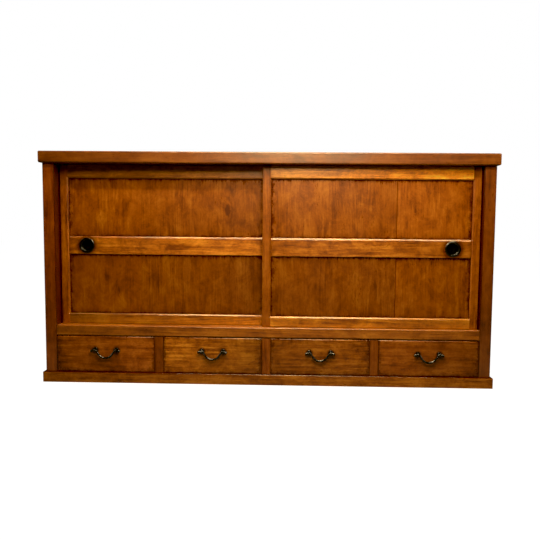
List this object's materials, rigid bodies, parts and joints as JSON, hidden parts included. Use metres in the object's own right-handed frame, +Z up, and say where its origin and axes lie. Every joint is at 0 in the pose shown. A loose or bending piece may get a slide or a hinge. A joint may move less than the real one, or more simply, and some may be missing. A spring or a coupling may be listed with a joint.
{
  "type": "mizuya kitchen cabinet",
  "caption": "Low, wide wooden kitchen cabinet: overlapping sliding doors with recessed round pulls above a row of drawers with hanging bail handles, on a flat base frame.",
  "frame": {"origin": "on the floor, midway across the width and midway between the front and rear edges of the top", "axes": "+X to the right seen from the front, -Y out of the front, +Z up"},
  "size_m": [1.719, 0.454, 0.88],
  "materials": {
    "frame_wood": "warm orange-brown glossy lacquer over straight grain, darker in the corners",
    "panel_wood": "warm orange-brown satin lacquer over wide vertical grain",
    "plain_wood": "bare aged softwood, planed, on hidden and inner faces",
    "black_iron": "forged iron burnt black with lacquer, glossy where it is handled"
  },
  "bodies": {
    "carcass": {"top_front_plank": "frame_wood", "top_rear_planks": "frame_wood", "base_front": "frame_wood", "base_rear": "frame_wood", "base_ends": "frame_wood", "drawer_floor": "plain_wood", "post_front_left": "frame_wood", "post_front_right": "frame_wood", "post_rear_left": "frame_wood", "post_rear_right": "frame_wood", "sill_with_tracks": "frame_wood", "drawer_dividers": "frame_wood", "drawer_guides": "plain_wood", "side_rails_left": "frame_wood", "side_rails_right": "frame_wood", "side_boards_left": "frame_wood", "side_boards_right": "frame_wood", "back_rails": "plain_wood", "back_boards": "plain_wood", "cupboard_floor": "plain_wood", "shelf_boards": "plain_wood", "shelf_rail_and_strut": "plain_wood"},
    "left_door": {"left_door_meeting_stile": "frame_wood", "left_door_outer_stile": "frame_wood", "left_door_top_rail": "frame_wood", "left_door_bottom_rail": "frame_wood", "left_door_belt_rail": "frame_wood", "left_door_panel": "panel_wood", "left_door_pull": "black_iron"},
    "right_door": {"right_door_meeting_stile": "frame_wood", "right_door_outer_stile": "frame_wood", "right_door_top_rail": "frame_wood", "right_door_bottom_rail": "frame_wood", "right_door_belt_rail": "frame_wood", "right_door_panel": "panel_wood", "right_door_pull": "black_iron"},
    "drawer_1": {"drawer_1_front": "frame_wood", "drawer_1_sides": "plain_wood", "drawer_1_back": "plain_wood", "drawer_1_bottom": "plain_wood", "drawer_1_eyes": "black_iron"},
    "bail_1": {"drawer_1_bail": "black_iron"},
    "drawer_2": {"drawer_2_front": "frame_wood", "drawer_2_sides": "plain_wood", "drawer_2_back": "plain_wood", "drawer_2_bottom": "plain_wood", "drawer_2_eyes": "black_iron"},
    "bail_2": {"drawer_2_bail": "black_iron"},
    "drawer_3": {"drawer_3_front": "frame_wood", "drawer_3_sides": "plain_wood", "drawer_3_back": "plain_wood", "drawer_3_bottom": "plain_wood", "drawer_3_eyes": "black_iron"},
    "bail_3": {"drawer_3_bail": "black_iron"},
    "drawer_4": {"drawer_4_front": "frame_wood", "drawer_4_sides": "plain_wood", "drawer_4_back": "plain_wood", "drawer_4_bottom": "plain_wood", "drawer_4_eyes": "black_iron"},
    "bail_4": {"drawer_4_bail": "black_iron"}
  },
  "joints": [
    {"name": "right_door_slide", "type": "slide", "parent": "carcass", "child": "right_door", "axis": [-1, 0, 0], "range_m": [0, 0.7865]},
    {"name": "left_door_slide", "type": "slide", "parent": "carcass", "child": "left_door", "axis": [1, 0, 0], "range_m": [0, 0.7865]},
    {"name": "drawer_1_slide", "type": "slide", "parent": "carcass", "child": "drawer_1", "axis": [0, -1, 0], "range_m": [0, 0.34]},
    {"name": "bail_1_hinge", "type": "hinge", "parent": "drawer_1", "child": "bail_1", "pos_m": [-0.61687, -0.221, 0.125], "axis": [-1, 0, 0], "range_deg": [-6, 170]},
    {"name": "drawer_2_slide", "type": "slide", "parent": "carcass", "child": "drawer_2", "axis": [0, -1, 0], "range_m": [0, 0.34]},
    {"name": "bail_2_hinge", "type": "hinge", "parent": "drawer_2", "child": "bail_2", "pos_m": [-0.20563, -0.221, 0.125], "axis": [-1, 0, 0], "range_deg": [-6, 170]},
    {"name": "drawer_3_slide", "type": "slide", "parent": "carcass", "child": "drawer_3", "axis": [0, -1, 0], "range_m": [0, 0.34]},
    {"name": "bail_3_hinge", "type": "hinge", "parent": "drawer_3", "child": "bail_3", "pos_m": [0.20563, -0.221, 0.125], "axis": [-1, 0, 0], "range_deg": [-6, 170]},
    {"name": "drawer_4_slide", "type": "slide", "parent": "carcass", "child": "drawer_4", "axis": [0, -1, 0], "range_m": [0, 0.34]},
    {"name": "bail_4_hinge", "type": "hinge", "parent": "drawer_4", "child": "bail_4", "pos_m": [0.61687, -0.221, 0.125], "axis": [-1, 0, 0], "range_deg": [-6, 170]}
  ]
}
